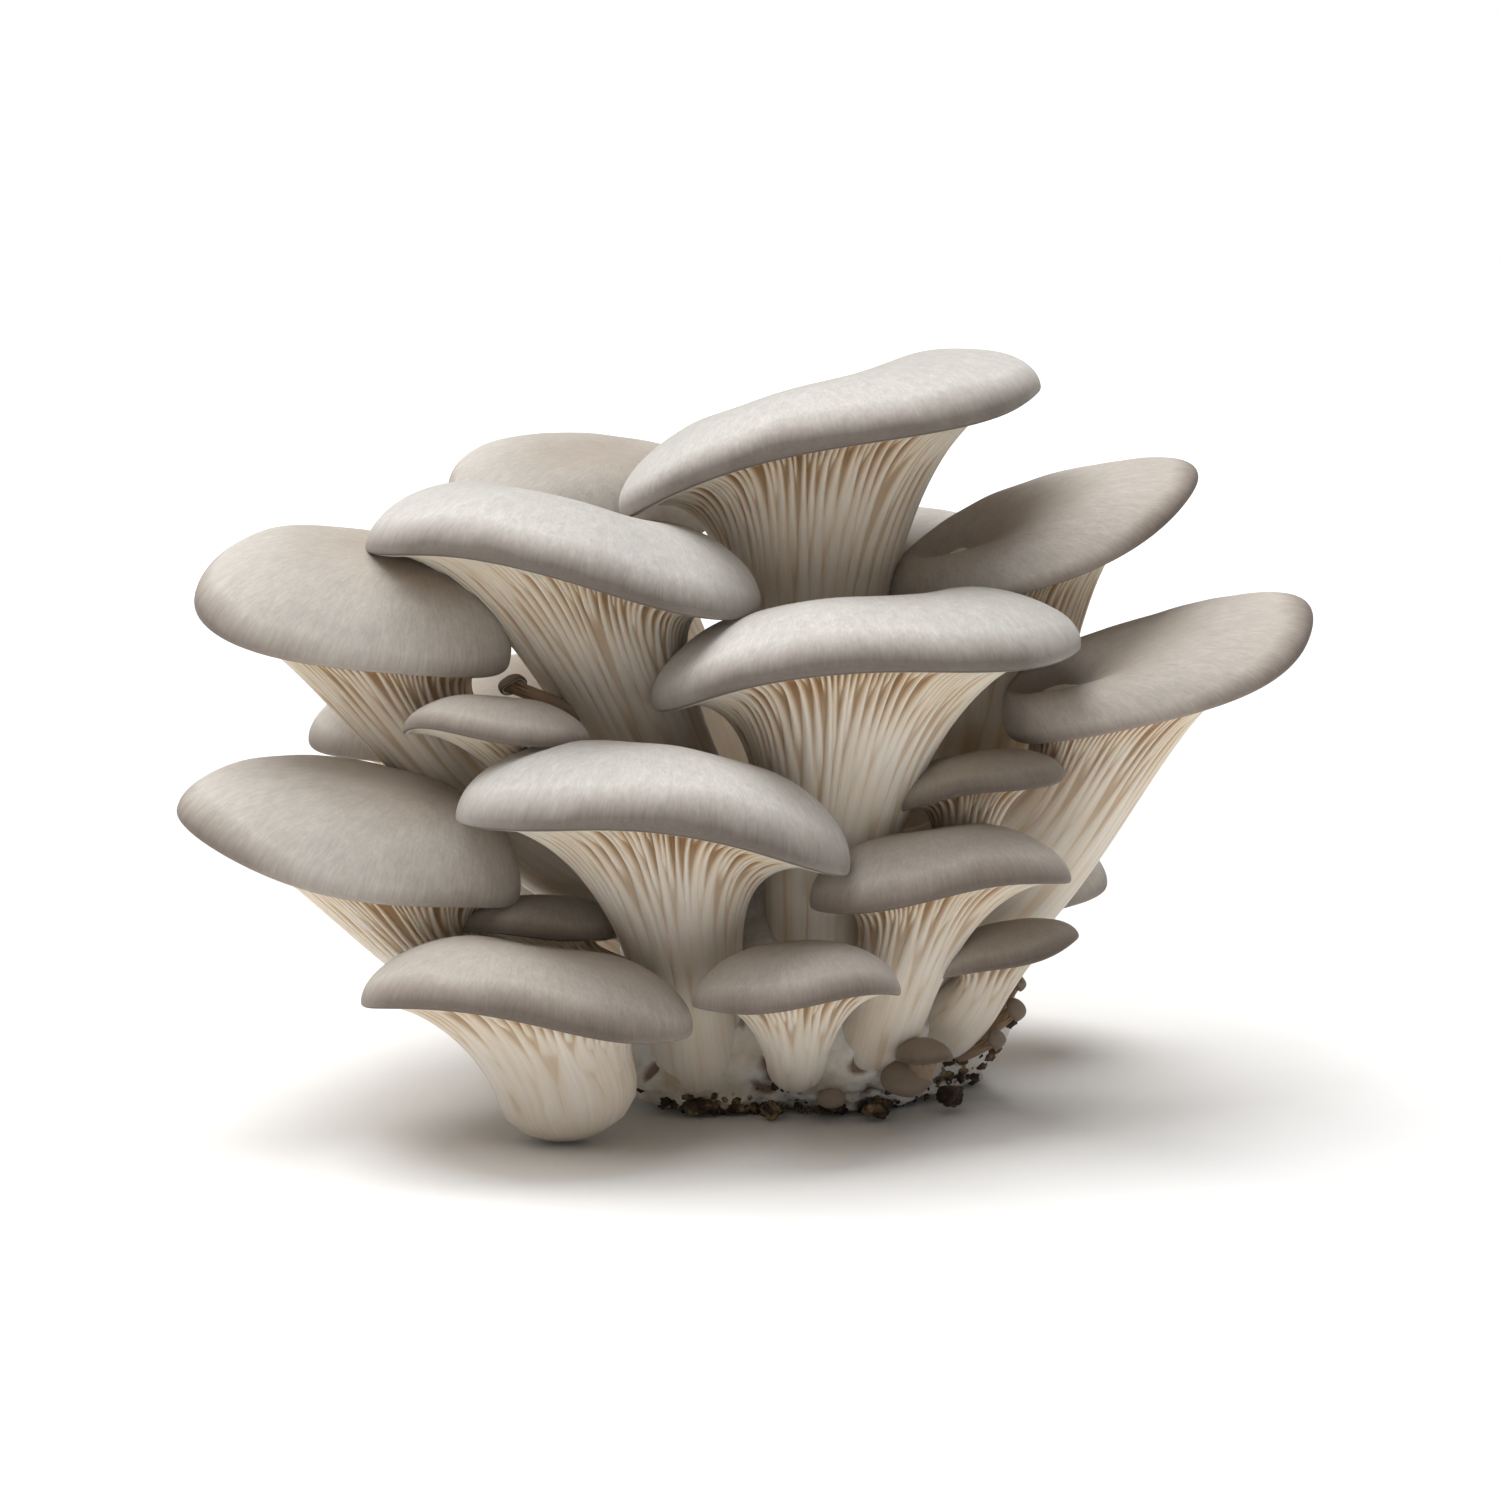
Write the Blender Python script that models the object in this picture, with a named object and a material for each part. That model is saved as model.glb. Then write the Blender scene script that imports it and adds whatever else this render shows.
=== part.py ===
"""Oyster mushroom cluster: fruit bodies, buds and bark crumbs grown from one cut foot of mycelium.

Built in metres, Z up, the cut face of the foot on z = 0 and the widest caps along X.
"""
import math
import random

import bmesh
import bpy
from mathutils import Vector
from mathutils.bvhtree import BVHTree

MM = 0.001
GAP = 0.35 * MM  # room left between two bodies that press on each other

BASE_CENTRE = (12.0, 6.0)  # mm, where the cut foot stands
BASE_REACH = (34.0, 29.0)  # mm, half width and half depth at its widest
BASE_HEIGHT = 47.0  # mm, up to the hidden top between the stems

FRAME_SHIFT = Vector((-0.02, -7.96, 0.0))  # mm, puts the middle of the whole cluster over the origin


def clear_scene():
    """Start from an empty scene."""
    for obj in list(bpy.data.objects):
        bpy.data.objects.remove(obj, do_unlink=True)


def material(name, color, roughness):
    """A plain Principled material."""
    made = bpy.data.materials.new(name)
    made.use_nodes = True
    shader = made.node_tree.nodes["Principled BSDF"]
    shader.inputs["Base Color"].default_value = (*color, 1.0)
    shader.inputs["Roughness"].default_value = roughness
    shader.inputs["Metallic"].default_value = 0.0
    return made


def cap_axes(face, pitch, roll):
    """Outward, sideways and upward axes of a cap that faces one way, tips up and leans over."""
    face, pitch, roll = (math.radians(a) for a in (face, pitch, roll))
    flat = Vector((math.cos(face), math.sin(face), 0.0))
    up = Vector((0.0, 0.0, 1.0))
    out = flat * math.cos(pitch) + up * math.sin(pitch)
    normal = up * math.cos(pitch) - flat * math.sin(pitch)
    side = normal.cross(out)
    return (
        out,
        side * math.cos(roll) + normal * math.sin(roll),
        normal * math.cos(roll) - side * math.sin(roll),
    )


class Mushroom:
    """The design values of one fruit body, in millimetres and degrees."""

    def __init__(self, name, cap, face, width, foot, lean, foot_radius, seed, **more):
        values = {
            "pitch": 12.0,
            "roll": 0.0,
            "front": 0.46,
            "back": 0.36,
            "crown": 0.22,
            "dimple": 0.06,
            "offset": 0.12,
            "lip": 0.028,
            "tuck": 0.6,
            "stiff": 0.62,
            "taper": 0.0,
            "wave": 0.02,
            "heel": 0.8,
            "dome": 2.6,
            "skew": 0.0,
            "broad": 1.0,
            "deep": 1.0,
        }
        values.update(more)
        self.name = name
        self.width = width
        self.centre = Vector(cap)
        self.foot = Vector(foot)
        self.foot_radius = foot_radius
        self.out, self.side, self.up = cap_axes(face, values["pitch"], values["roll"])
        self.front = values["front"] * width
        self.back = values["back"] * width
        self.crown = values["crown"] * width
        self.dimple = values["dimple"] * width
        self.offset = values["offset"] * width
        self.lip = values["lip"] * width
        self.tuck = values["tuck"]
        self.stiff = values["stiff"]
        self.taper = values["taper"]
        self.wave = values["wave"]
        self.heel = values["heel"]
        self.dome = values["dome"]
        self.skew = values["skew"]
        self.grow = Vector(lean).normalized()
        turn = self.up.rotation_difference(self.grow)
        self.foot_out = (turn @ self.out) * values["deep"]
        self.foot_side = (turn @ self.side) * values["broad"]
        dice = random.Random(seed)
        self.phase = [dice.uniform(0.0, 2.0 * math.pi) for _ in range(4)]

    def outline(self, theta):
        """Margin of the cap: how far out, how far sideways and how far up it waves."""
        first, second, third, fourth = self.phase
        ripple = 1.0 + self.wave * math.cos(2.0 * theta + first)
        ripple += self.wave * math.cos(3.0 * theta + second)
        ripple += 0.6 * self.wave * math.cos(5.0 * theta + third)
        reach = self.front if math.cos(theta) > 0.0 else self.back
        out = reach * math.cos(theta) * ripple
        side = self.width / 2.0 * math.sin(theta) * ripple
        side *= 1.0 + self.taper * math.cos(theta)
        lift = 0.9 * self.width * self.wave * math.cos(3.0 * theta + fourth)
        return out, side, lift

    def at(self, out, side, up):
        return self.centre + self.out * out + self.side * side + self.up * up

    def top_point(self, theta, r):
        """A point on the upper skin, r from 0 at the hollow to 1 at the margin."""
        out, side, lift = self.outline(theta)
        height = self.crown * (1.0 - min(r, 1.0) ** self.dome) ** 0.56
        height *= 1.0 + self.skew * 2.0 * side * r / self.width
        height -= self.dimple * math.exp(-((r / 0.34) ** 2))
        height += lift * r * r
        return self.at(out * r - self.offset * (1.0 - r), side * r, height)

    def lip_point(self, theta, turn):
        """A point on the rolled margin, turn from 0 outside to pi inside."""
        out, side, lift = self.outline(theta)
        inward = 1.0 - self.lip * (1.0 - math.cos(turn)) / math.hypot(out, side)
        return self.at(out * inward, side * inward, lift - 1.15 * self.lip * math.sin(turn))

    def ring(self, theta, radius):
        return self.foot_out * (radius * math.cos(theta)) + self.foot_side * (radius * math.sin(theta))

    def under_point(self, theta, t):
        """A point below the cap, t from 0 inside the margin to 1 at the foot."""
        length = (self.centre - self.foot).length
        start = self.lip_point(theta, 0.8 * math.pi)
        throat = self.at(-self.offset, 0.0, 0.05 * self.crown)
        end = self.foot + self.ring(theta, self.foot_radius)
        bend = start + (throat - start) * self.tuck
        rise = end + self.grow * (length * self.stiff)
        s = 1.0 - t
        return start * s**3 + bend * (3.0 * s * s * t) + rise * (3.0 * s * t * t) + end * t**3

    def heel_point(self, theta, turn):
        """A point on the rounded end of the stem, turn from 0 at the ring to pi/2 at its tip."""
        drop = self.foot_radius * self.heel * math.sin(turn)
        return self.foot - self.grow * drop + self.ring(theta, self.foot_radius * math.cos(turn))


def skin_rows(under, top):
    """Rows of the skin from the heel up: (kind, value)."""
    rows = [("heel", 0.5 * math.pi), ("heel", 0.25 * math.pi)]
    rows += [("under", 1.0 - i / (under - 1)) for i in range(under)]
    rows += [("lip", 0.5 * math.pi)]
    rows += [("top", 1.0 - (i / top) ** 1.6) for i in range(top + 1)]
    return rows


def link(name, mesh_maker, skin):
    """Turn a bmesh in millimetres into a named, smooth object in metres."""
    bmesh.ops.triangulate(mesh_maker, faces=mesh_maker.faces)
    bmesh.ops.recalc_face_normals(mesh_maker, faces=mesh_maker.faces)
    for vert in mesh_maker.verts:
        vert.co = (vert.co + FRAME_SHIFT) * MM
    for face in mesh_maker.faces:
        face.smooth = True
    mesh = bpy.data.meshes.new(name)
    mesh_maker.to_mesh(mesh)
    mesh_maker.free()
    mesh.materials.append(skin)
    obj = bpy.data.objects.new(name, mesh)
    bpy.context.scene.collection.objects.link(obj)
    return obj


def fruit_body(design, around, under, top, skin):
    """One mushroom: a ball pulled into a cap, a rolled margin, a flaring underside and a stem."""
    rows = skin_rows(under, top)
    bm = bmesh.new()
    bmesh.ops.create_uvsphere(bm, u_segments=around, v_segments=len(rows) - 1, radius=1.0)
    for vert in bm.verts:
        theta = math.atan2(vert.co.y, vert.co.x)
        polar = math.acos(max(-1.0, min(1.0, -vert.co.z)))
        kind, value = rows[round(polar / math.pi * (len(rows) - 1))]
        place = {
            "heel": design.heel_point,
            "under": design.under_point,
            "lip": design.lip_point,
            "top": design.top_point,
        }[kind](theta, value)
        vert.co = place
    return link(design.name, bm, skin)


def mycelium_base(skin):
    """The cut foot: a lumpy trunk, flat below, that the stems grow from."""
    profile = (
        (0.0, 0.0),
        (0.0, 0.74),
        (5.0, 0.86),
        (14.0, 1.0),
        (24.0, 0.98),
        (33.0, 0.84),
        (40.0, 0.62),
        (45.0, 0.34),
        (BASE_HEIGHT, 0.0),
    )
    bm = bmesh.new()
    bmesh.ops.create_uvsphere(bm, u_segments=30, v_segments=len(profile) - 1, radius=1.0)
    for vert in bm.verts:
        theta = math.atan2(vert.co.y, vert.co.x)
        polar = math.acos(max(-1.0, min(1.0, -vert.co.z)))
        z, reach = profile[round(polar / math.pi * (len(profile) - 1))]
        lobe = (theta - math.radians(-138.0)) / math.radians(20.0)
        bulge = 1.0 + 0.38 * math.exp(-lobe * lobe) * math.exp(-((z / 26.0) ** 2))
        bulge += 0.05 * math.sin(3.0 * theta + 0.7)
        bulge += 0.04 * math.cos(5.0 * theta + 0.1 * z)
        bulge += 0.03 * math.sin(8.0 * theta - 0.15 * z)
        drift = 2.0 * z / BASE_HEIGHT
        vert.co = Vector((
            BASE_CENTRE[0] - drift + BASE_REACH[0] * reach * bulge * math.cos(theta),
            BASE_CENTRE[1] + drift + BASE_REACH[1] * reach * bulge * math.sin(theta),
            z,
        ))
    return link("mycelium_base", bm, skin)


def bark_crumb(name, centre, size, seed, skin):
    """A broken bit of the wood chip that the cluster was grown on."""
    dice = random.Random(seed)
    bm = bmesh.new()
    bmesh.ops.create_icosphere(bm, subdivisions=1, radius=1.0)
    for vert in bm.verts:
        k = dice.uniform(0.8, 1.15)
        place = Vector((vert.co.x * size[0], vert.co.y * size[1], vert.co.z * size[2])) * (k / 2.0)
        place += Vector(centre)
        place.z = max(place.z, 0.4)
        vert.co = place
    return link(name, bm, skin)


def tree_of(obj):
    return BVHTree.FromPolygons(
        [v.co[:] for v in obj.data.vertices], [p.vertices[:] for p in obj.data.polygons]
    )


def swollen(obj):
    """A hidden copy of a body, grown by the gap, that cuts room for it in its neighbours."""
    cutter = bpy.data.objects.new(obj.name + "_room", obj.data.copy())
    bpy.context.scene.collection.objects.link(cutter)
    for vert in cutter.data.vertices:
        vert.co = vert.co + vert.normal * GAP
    cutter.hide_render = True
    cutter.display_type = "WIRE"
    return cutter


def keep_largest_island(mesh):
    """Drop the loose flakes that a cut can leave."""
    bm = bmesh.new()
    bm.from_mesh(mesh)
    left = set(bm.verts)
    islands = []
    while left:
        island = {left.pop()}
        edge_of = list(island)
        while edge_of:
            vert = edge_of.pop()
            for edge in vert.link_edges:
                other = edge.other_vert(vert)
                if other in left:
                    left.discard(other)
                    island.add(other)
                    edge_of.append(other)
        islands.append(island)
    islands.sort(key=len)
    for island in islands[:-1]:
        bmesh.ops.delete(bm, geom=list(island), context="VERTS")
    for face in bm.faces:
        face.smooth = True
    bm.to_mesh(mesh)
    bm.free()


def trim(obj, older):
    """Cut away what the older neighbours already fill, so that no two bodies overlap."""
    tree = tree_of(obj)
    touching = [cutter for cutter, room in older if tree.overlap(room)]
    for cutter in touching:
        cut = obj.modifiers.new("room_for_" + cutter.name, "BOOLEAN")
        cut.operation = "DIFFERENCE"
        cut.solver = "EXACT"
        cut.object = cutter
    if not touching:
        return
    bpy.context.view_layer.update()
    graph = bpy.context.evaluated_depsgraph_get()
    result = bpy.data.meshes.new_from_object(obj.evaluated_get(graph))
    obj.modifiers.clear()
    obj.data = result
    keep_largest_island(result)


def large_mushrooms():
    """The fruit bodies with caps over 40 mm, in the order in which they took their room."""
    return [
        Mushroom("crown_mushroom", (14.5, 14, 115), -80, 80, (12, 14, 40), (-0.05, 0.1, 1),
                 8, 1,
                 pitch=7, roll=14, crown=0.16, tuck=0.42, stiff=0.72, skew=0.1, broad=1.4),
        Mushroom("upper_left_mushroom", (-32, -8, 94), -98, 71, (-5, 4, 36), (-0.5, -0.1,
                 1), 10, 2,
                 pitch=7, roll=-10, crown=0.2, tuck=0.5, skew=-0.12),
        Mushroom("centre_mushroom", (20, -16, 78), -86, 75, (13, -12, 28), (0, -0.25, 1),
                 10.5, 4,
                 pitch=8, roll=6, crown=0.19, tuck=0.44),
        Mushroom("far_right_mushroom", (71.5, -4, 76), -6, 42, (25, 3, 30), (0.8, -0.1,
                 0.2), 9, 14,
                 deep=1.9, tuck=0.6, stiff=0.55, pitch=21, roll=15, front=0.68, back=0.66,
                 crown=0.2, dimple=0.16, offset=0.5, taper=0.12),
        Mushroom("front_mushroom", (-16, -36, 52), -92, 66, (-9, -15, 13), (-0.1, -0.5,
                 0.9), 9, 5,
                 roll=-7, crown=0.25, tuck=0.55, heel=1.25, dimple=0.03),
        Mushroom("left_low_mushroom", (-69, -20, 47.5), 186, 45, (-13, -2, 14), (-1, -0.1,
                 -0.1), 9.5, 13,
                 pitch=15.5, roll=-9, front=0.68, back=0.66, crown=0.32, dimple=0.01,
                 offset=0.25, taper=0.12, tuck=0.48, broad=1.3),
        Mushroom("left_high_mushroom", (-69, -6, 85.5), 188, 45, (-10, 8, 30), (-0.9, -0.05,
                 0.35), 9, 12,
                 roll=-15, front=0.64, back=0.62, crown=0.32, dimple=0.01, offset=0.15,
                 taper=0.12, tuck=0.5, broad=1.2),
        Mushroom("upper_right_mushroom", (52.5, 16, 98), -4, 41, (30, 16, 32), (0.5, 0,
                 0.8), 7.5, 15,
                 deep=1.5, pitch=23, roll=16, front=0.7, back=0.74, crown=0.2, dimple=0.14,
                 offset=0.4, taper=0.2),
        Mushroom("back_high_mushroom", (-30, 44, 102), 120, 53, (0, 22, 36), (-0.3, 0.45,
                 0.9), 8, 3,
                 pitch=16, dimple=0.0, tuck=0.72),
        Mushroom("front_low_mushroom", (-38, -44, 24), -97, 55, (-31, -37.5, 9.5), (-0.2,
                 -0.15, 1), 9, 7,
                 pitch=10, roll=-6, stiff=0.35, tuck=0.4, broad=1.35, heel=1.0,
                 dimple=0.02),
        Mushroom("right_middle_mushroom", (32, -28, 42), -80, 44, (22, -16, 14), (0.1, -0.6,
                 0.6), 7.5, 9,
                 pitch=9, roll=6, dimple=0.02, dome=2.3, crown=0.25, tuck=0.6, heel=1.2),
        Mushroom("back_right_mushroom", (22, 46, 88), 70, 58, (17, 24, 32), (0.1, 0.5, 0.9),
                 7.5, 16,
                 pitch=14, roll=4, tuck=0.72),
        Mushroom("back_left_mushroom", (-40, 50, 60), 125, 52, (-4, 24, 24), (-0.6, 0.6,
                 0.4), 7.5, 18,
                 tuck=0.72),
        Mushroom("back_middle_mushroom", (6, 62, 48), 88, 50, (8, 30, 17), (0, 0.8, 0.3), 7,
                 19,
                 roll=-5, tuck=0.72),
        Mushroom("back_low_right_mushroom", (46, 48, 31), 48, 44, (28, 24, 14), (0.5, 0.7,
                 0.2), 6.5, 20,
                 roll=5, tuck=0.72),
    ]


def small_mushrooms():
    """The buds with caps from 25 to 40 mm."""
    return [
        Mushroom("front_bud", (8, -46, 27), -88, 35, (8, -20, 10), (0, -0.9, 0.3), 5.2, 8,
                 dome=2.1, dimple=0.01, pitch=8, roll=5, stiff=0.5, crown=0.27, tuck=0.5,
                 heel=1.2),
        Mushroom("left_bud", (-43, -26, 68), -105, 33, (-13, -2, 31), (-0.6, -0.15, 0.7), 5,
                 6,
                 dome=2.1, dimple=0.01, pitch=10, roll=-4, tuck=0.72),
        Mushroom("right_high_bud", (39, -14, 57), -75, 31, (33, -5, 28), (0.2, -0.3, 0.9),
                 5, 10,
                 dome=2.1, dimple=0.01, pitch=9, roll=8, tuck=0.72),
        Mushroom("right_low_bud", (44, -20, 29), -70, 26, (34, -8, 14), (0.4, -0.6, 0.4), 6,
                 11,
                 dome=2.1, dimple=0.01, pitch=8, roll=12, tuck=0.72),
        Mushroom("inner_left_bud", (-37, -15, 32), -120, 32, (-12, -8, 18), (-0.8, -0.4,
                 0.3), 5, 23,
                 dome=2.1, dimple=0.01, pitch=10, roll=4, tuck=0.72),
        Mushroom("back_low_left_bud", (-30, 44, 26), 110, 38, (-8, 24, 11), (-0.5, 0.7, 0),
                 6.5, 21,
                 dome=2.1, dimple=0.01, pitch=10, roll=5, tuck=0.72),
        Mushroom("back_left_bud", (-64, 20, 62), 168, 34, (-12, 14, 26), (-0.8, 0.3, 0.3),
                 6, 17,
                 dome=2.1, dimple=0.01, pitch=4, roll=-8, crown=0.3, tuck=0.72),
    ]


def pins():
    """The pin heads that never opened, 4 to 9 mm across, standing out from the side of the foot."""
    stub = {"front": 0.36, "crown": 0.3, "lip": 0.06, "tuck": 0.35, "stiff": 0.35, "dimple": 0.0}
    return [
        Mushroom("front_pin_high", (30, -27, 12.5), -80, 10, (29.5, -22.5, 8), (0.1, -0.4,
                 0.8), 2.2, 31,
                 **stub, pitch=4, back=0.56, offset=0.3),
        Mushroom("front_pin_low", (27, -23, 8), 90, 9, (25, -15, 6), (0.1, -1, 0.3), 2.4,
                 32,
                 **stub, pitch=70),
        Mushroom("front_pin_small", (14, -23.5, 4.5), 100, 5, (13, -17, 4), (0, -1, 0.2),
                 1.5, 37,
                 **stub, pitch=75),
        Mushroom("right_pin_high", (47.3, -4, 21), 175, 4.5, (43, -2, 16), (1, -0.2, 0.5),
                 1.3, 33,
                 **stub, pitch=60),
        Mushroom("right_pin_middle", (46.5, -8, 17), 165, 6, (40, -5, 12), (1, -0.3, 0.4),
                 1.7, 34,
                 **stub, pitch=65),
        Mushroom("right_pin_low", (43, -12, 12.5), 155, 5, (37, -8, 9), (1, -0.4, 0.3), 1.4,
                 35,
                 **stub, pitch=70),
        Mushroom("upper_left_pin", (-41, -12, 75), -40, 6, (-30, -7, 69), (-0.8, -0.3, 0.5),
                 1.7, 36,
                 **stub, pitch=50),
    ]


def crumbs():
    """Bark crumbs caught at the cut edge: name, centre, size and seed."""
    return [
        ("bark_crumb_front_left", (-9, -17.5, 2.4), (4.6, 3.4, 3.0), 51),
        ("bark_crumb_front", (4, -21, 2.0), (3.6, 3.1, 2.7), 52),
        ("bark_crumb_front_right", (22, -21.5, 1.8), (3.8, 3.2, 2.5), 53),
        ("bark_crumb_right", (35, -14.5, 3.2), (4.0, 3.5, 3.4), 54),
        ("bark_crumb_back_right", (36, 24, 2.8), (4.4, 4.0, 3.2), 55),
        ("bark_crumb_back_left", (-8, 27, 2.4), (4.0, 4.0, 3.2), 56),
    ]


def main():
    clear_scene()
    flesh = {
        "cap": (0.46, 0.41, 0.36),
        "base": (0.72, 0.66, 0.56),
        "crumb": (0.10, 0.06, 0.04),
    }
    base = mycelium_base(material("mycelium", flesh["base"], 0.85))
    older = [(swollen(base), tree_of(base))]
    grown = [(design, (20, 8, 4)) for design in large_mushrooms()]
    grown += [(design, (14, 7, 3)) for design in small_mushrooms()]
    grown += [(design, (9, 3, 2)) for design in pins()]
    for design, (around, under, top) in grown:
        body = fruit_body(design, around, under, top, material(design.name, flesh["cap"], 0.7))
        room = (swollen(body), tree_of(body))
        trim(body, older)
        older.append(room)
    for name, centre, size, seed in crumbs():
        body = bark_crumb(name, centre, size, seed, material(name, flesh["crumb"], 0.9))
        trim(body, older)
    bpy.context.view_layer.update()


main()
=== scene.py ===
"""A fresh cut cluster of oyster mushrooms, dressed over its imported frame.

Design sizes are in millimetres, from a point on the table under the cluster.
"""

import math
import random

import bmesh
import bpy
import numpy as np
from mathutils import Matrix, Vector, noise


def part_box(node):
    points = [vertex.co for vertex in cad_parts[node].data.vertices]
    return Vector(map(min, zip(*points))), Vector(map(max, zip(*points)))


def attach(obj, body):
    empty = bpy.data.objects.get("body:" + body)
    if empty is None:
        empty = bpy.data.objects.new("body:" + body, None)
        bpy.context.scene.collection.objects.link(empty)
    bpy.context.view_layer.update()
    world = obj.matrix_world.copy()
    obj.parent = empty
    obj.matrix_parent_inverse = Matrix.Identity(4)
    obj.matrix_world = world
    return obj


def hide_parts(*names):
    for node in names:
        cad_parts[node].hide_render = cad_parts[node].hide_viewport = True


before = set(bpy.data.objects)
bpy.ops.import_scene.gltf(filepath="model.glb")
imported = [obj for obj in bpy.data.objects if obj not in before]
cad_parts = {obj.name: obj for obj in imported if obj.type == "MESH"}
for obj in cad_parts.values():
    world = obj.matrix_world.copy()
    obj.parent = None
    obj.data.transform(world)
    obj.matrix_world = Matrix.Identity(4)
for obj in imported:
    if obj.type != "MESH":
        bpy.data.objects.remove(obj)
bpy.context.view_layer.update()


# ---------------------------------------------------------------- the foot
# The cut foot is a lumpy pad of white mycelium, the cottony body of the fungus, that held the
# bag's substrate together. It is torn from the bag, so its lower edge is ragged and stained.

MM = 0.001
FOOT_MIDDLE_IN_DESIGN = Vector((11.12, 5.16, 0.0))
FOOT_CENTRE = (12.0, 6.0)
FOOT_REACH = (34.0, 29.0)
FOOT_HEIGHT = 47.0
FOOT_PROFILE = (
    (0.0, 0.0), (0.0, 0.42), (0.0, 0.74), (2.0, 0.81), (5.0, 0.87), (9.0, 0.95), (14.0, 1.0),
    (19.0, 1.0), (24.0, 0.98), (29.0, 0.92), (33.0, 0.84), (37.0, 0.74), (40.0, 0.62),
    (43.0, 0.48), (45.0, 0.34), (46.4, 0.18), (47.0, 0.0),
)

foot_low, foot_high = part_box("mycelium_base")
GROUND_ZERO = (foot_low + foot_high) / 2.0  # where the design's zero lies in the frame, in metres
GROUND_ZERO.z = 0.0
GROUND_ZERO -= FOOT_MIDDLE_IN_DESIGN * MM


class Finish:
    """A material in the making: each method adds one node and hands back its output."""

    def __init__(self, name, **constants):
        self.made = bpy.data.materials.new(name)
        self.made.use_nodes = True
        self.nodes = self.made.node_tree.nodes
        self.wires = self.made.node_tree.links
        self.shader = self.nodes["Principled BSDF"]
        for socket, value in constants.items():
            self.shader.inputs[socket.replace("_", " ")].default_value = value

    def put(self, kind, **wired):
        node = self.nodes.new("ShaderNode" + kind)
        for socket, value in wired.items():
            self.feed(node.inputs[socket.replace("_", " ")], value)
        return node

    def feed(self, socket, value):
        if isinstance(value, bpy.types.NodeSocket):
            self.wires.new(value, socket)
        else:
            socket.default_value = value

    def place(self):
        return self.put("TexCoord").outputs["Object"]

    def mark(self, name, vector=False):
        node = self.nodes.new("ShaderNodeAttribute")
        node.attribute_name = name
        return node.outputs["Vector" if vector else "Fac"]

    def cloud(self, where, scale, detail=3.0, roughness=0.55):
        return self.put("TexNoise", Vector=where, Scale=scale, Detail=detail,
                        Roughness=roughness).outputs["Fac"]

    def cells(self, where, scale):
        return self.put("TexVoronoi", Vector=where, Scale=scale).outputs["Distance"]

    def shade(self, factor, *stops):
        """A ramp from (position, colour) stops; a plain number stands for a grey."""
        node = self.put("ValToRGB", Fac=factor)
        row = node.color_ramp.elements
        while len(row) < len(stops):
            row.new(0.5)
        for element, (position, colour) in zip(row, stops):
            element.position = position
            colour = (colour,) * 3 if isinstance(colour, (int, float)) else colour
            element.color = (*colour, 1.0)
        return node.outputs["Color"]

    def blend(self, factor, first, second, mode="MIX"):
        node = self.nodes.new("ShaderNodeMix")
        node.data_type = "RGBA"
        node.blend_type = mode
        for socket, value in zip((node.inputs[0], node.inputs[6], node.inputs[7]),
                                 (factor, first, second)):
            if isinstance(value, tuple) and len(value) == 3:
                value = (*value, 1.0)
            self.feed(socket, value)
        return node.outputs[2]

    def calc(self, first, second, action="ADD"):
        node = self.nodes.new("ShaderNodeMath")
        node.operation = action
        self.feed(node.inputs[0], first)
        self.feed(node.inputs[1], second)
        return node.outputs[0]

    def finish(self, colour, roughness, height, strength, deep):
        """Wire the colour, roughness and bump to the shader and hand back the material."""
        self.feed(self.shader.inputs["Base Color"], colour)
        self.feed(self.shader.inputs["Roughness"], roughness)
        bump = self.put("Bump", Height=height, Strength=strength, Distance=deep)
        self.wires.new(bump.outputs["Normal"], self.shader.inputs["Normal"])
        return self.made


def rolled_skin(name, skin, finish, **marks):
    """A sheet of mesh rolled round, pinched shut at both ends and pulled to a skin in design mm."""
    rings, columns = skin.shape[:2]
    bm = bmesh.new()
    bmesh.ops.create_grid(bm, x_segments=columns, y_segments=rings - 1, size=1.0)
    sheet = np.array([vert.co[:2] for vert in bm.verts])
    column = np.rint((sheet[:, 0] + 1.0) / 2.0 * columns).astype(int)
    ring = np.rint((sheet[:, 1] + 1.0) / 2.0 * (rings - 1)).astype(int)
    knot = dict(zip(zip(ring.tolist(), column.tolist()), bm.verts))
    joined = {knot[r, columns]: knot[r, 0] for r in range(1, rings - 1)}
    for end in (0, rings - 1):
        joined.update({knot[end, c]: knot[end, 0] for c in range(1, columns + 1)})
    kept = np.array([vert not in joined for vert in bm.verts])
    bmesh.ops.weld_verts(bm, targetmap=joined)
    mesh = bpy.data.meshes.new(name)
    bm.to_mesh(mesh)
    bm.free()
    ring, column = ring[kept], column[kept]
    placed = skin[ring, column] * MM + np.array(GROUND_ZERO)
    mesh.vertices.foreach_set("co", placed.ravel())
    for mark, values in marks.items():
        kind, field = ("FLOAT_VECTOR", "vector") if values.ndim == 3 else ("FLOAT", "value")
        layer = mesh.attributes.new(mark, kind, "POINT")
        layer.data.foreach_set(field, values[ring, column].ravel())
    mesh.shade_smooth()
    mesh.update()
    mesh.materials.append(finish)
    piece = bpy.data.objects.new(name, mesh)
    bpy.context.scene.collection.objects.link(piece)
    return piece


def ripples(points, size, seed, octaves=3):
    """Soft noise from -1 to 1 at each point, with bumps about this many mm across."""
    shift = Vector((seed * 7.31, seed * 3.77, seed * 1.93))
    flat = points.reshape(-1, 3) / size
    found = [noise.fractal(Vector(p) + shift, 1.0, 2.0, octaves) for p in flat]
    return np.array(found).reshape(points.shape[:-1])


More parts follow.
